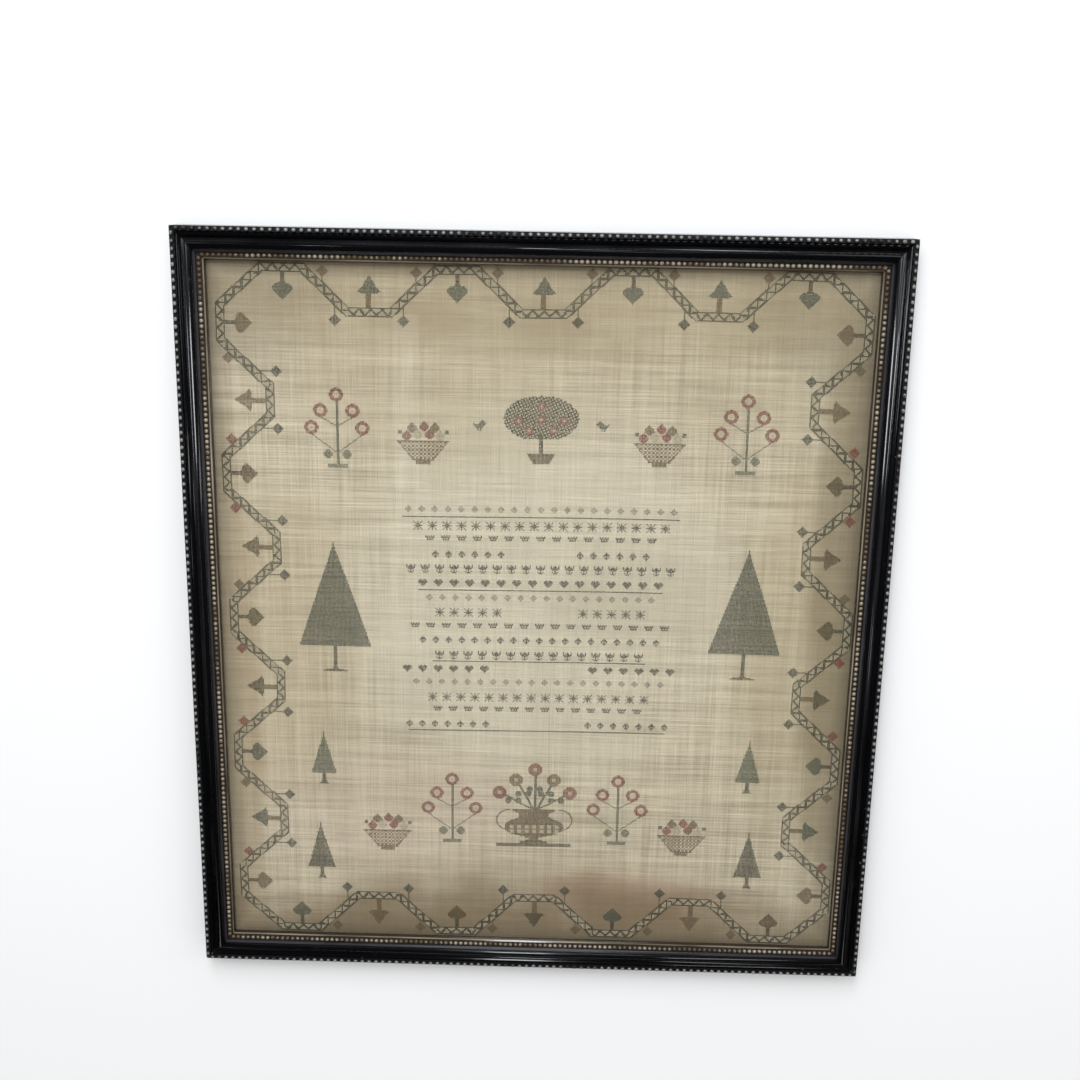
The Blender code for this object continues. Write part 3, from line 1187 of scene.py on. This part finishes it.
def glaze() -> None:
    """Make the CAD pane clear glass that lets the light through to the linen."""
    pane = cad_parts["glass_pane"]
    dress(pane, ClearGlass().make())
    pane.visible_shadow = False
    pane.visible_diffuse = False


@dataclass
class Softbox:
    """One rectangular lamp aimed at a place."""
    name: str
    place: Vector
    aim: Vector
    size: tuple[float, float]
    power: float
    tint: Colour = (1.0, 1.0, 1.0)
    shines: bool = True

    def build(self) -> None:
        """Hang the lamp."""
        lamp = bpy.data.lights.new(self.name, "AREA")
        lamp.shape = "RECTANGLE"
        lamp.size, lamp.size_y = self.size
        lamp.energy = self.power
        lamp.color = self.tint
        holder = bpy.data.objects.new(self.name, lamp)
        holder.location = self.place
        holder.rotation_euler = (self.aim - self.place).to_track_quat("-Z", "Y").to_euler()
        holder.visible_glossy = self.shines
        holder.visible_transmission = self.shines
        bpy.context.scene.collection.objects.link(holder)


@dataclass
class Studio:
    """The floor, the lamps, the room's light and the camera."""
    floor_size: float = 8.0
    room: float = 0.66
    lens: float = 48.6
    camera_place: Vector = field(default_factory=lambda: Vector((0.0204, 0.3345, 0.9635)))
    camera_turn: tuple[float, float, float] = (-16.01, 1.40, 0.98)

    def lights(self) -> None:
        """Hang the lamps and set the room's own light."""
        middle = Vector((0, 0, 0))
        Softbox("window", Vector((-0.12, 1.35, 1.35)), middle, (0.55, 1.1), 22.0,
                (0.93, 0.97, 1.0)).build()
        Softbox("low window", Vector((0.1, 2.0, 0.35)), middle, (1.6, 0.5), 5.0,
                (0.93, 0.97, 1.0)).build()
        Softbox("side window", Vector((1.5, 0.5, 1.1)), middle, (0.35, 1.0), 4.0,
                (0.96, 0.98, 1.0)).build()
        Softbox("fill", Vector((-1.0, 1.2, 1.6)), middle, (0.8, 0.8), 6.0, shines=False).build()
        Softbox("far pane", Vector((-0.26, -0.13, 1.5)), Vector((-0.26, -0.13, 0)), (0.045, 0.30),
                0.022).build()
        world = bpy.data.worlds.new("room")
        world.use_nodes = True
        world.node_tree.nodes["Background"].inputs["Color"].default_value = (1, 1, 1, 1)
        world.node_tree.nodes["Background"].inputs["Strength"].default_value = self.room
        world.cycles_visibility.glossy = False
        world.cycles_visibility.transmission = False
        bpy.context.scene.world = world

    def floor(self) -> None:
        """Lay the floor just under the picture's back."""
        unselect()
        bpy.ops.mesh.primitive_plane_add(size=self.floor_size, location=(0, 0, CAD_BOX[0].z - 0.05 * MM))
        plane = bpy.context.object
        plane.name = "floor"
        settle(plane)
        dress(plane, PaleFloor().make())

    def camera(self) -> None:
        """Stand the camera above the picture's upper half."""
        view = bpy.data.cameras.new("camera")
        view.lens = self.lens
        view.sensor_width = 36
        view.clip_start = 0.01
        holder = bpy.data.objects.new("camera", view)
        holder.location = self.camera_place
        holder.rotation_euler = [math.radians(angle) for angle in self.camera_turn]
        bpy.context.scene.collection.objects.link(holder)
        bpy.context.scene.camera = holder
        bpy.context.scene.view_settings.view_transform = "Standard"

    def build(self) -> None:
        """Set up the whole studio."""
        self.floor()
        self.lights()
        self.camera()


def main() -> None:
    """Build every sub-assembly in turn."""
    logging.basicConfig(level=logging.INFO, format="%(name)s %(message)s")
    Studio().build()
    moulding = Moulding()
    moulding.dress(moulding.build())
    edge_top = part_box("bead_edge_top")[1].z
    slip_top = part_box("slip_top")[1].z
    # outer beads: a black ground, and a pale metal on the tops that is also a painted highlight
    BeadedStrip("bead_edge", "beads", "rubbed_bead", 5.0 * MM, 3.7 * MM,
                RubbedFinishWithPaintedLight("rubbed beads with painted light", (0.006, 0.006, 0.007), (0.30, 0.29, 0.27),
                             (0.030, 0.022, 0.016), edge_top - 1.3 * MM, edge_top - 0.5 * MM,
                             0.52)).build()
    # slip beads: a dark ground that is also painted shade between the beads, and a pale metal on the
    # tops that is also a painted highlight
    BeadedStrip("slip", "slip_beads", "worn_gilt", 3.65 * MM, 3.35 * MM,
                RubbedFinishWithPaintedLight("worn gilt with painted light", (0.030, 0.022, 0.015), (0.46, 0.38, 0.27),
                             (0.13, 0.085, 0.045), slip_top - 1.4 * MM, slip_top - 0.4 * MM,
                             0.44)).build()
    linen = Linen()
    linen.build()
    Embroidery(linen).build()
    glaze()
    dress(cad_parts["back_board"], SawnBoard().make())


if __name__ == "__main__":
    main()
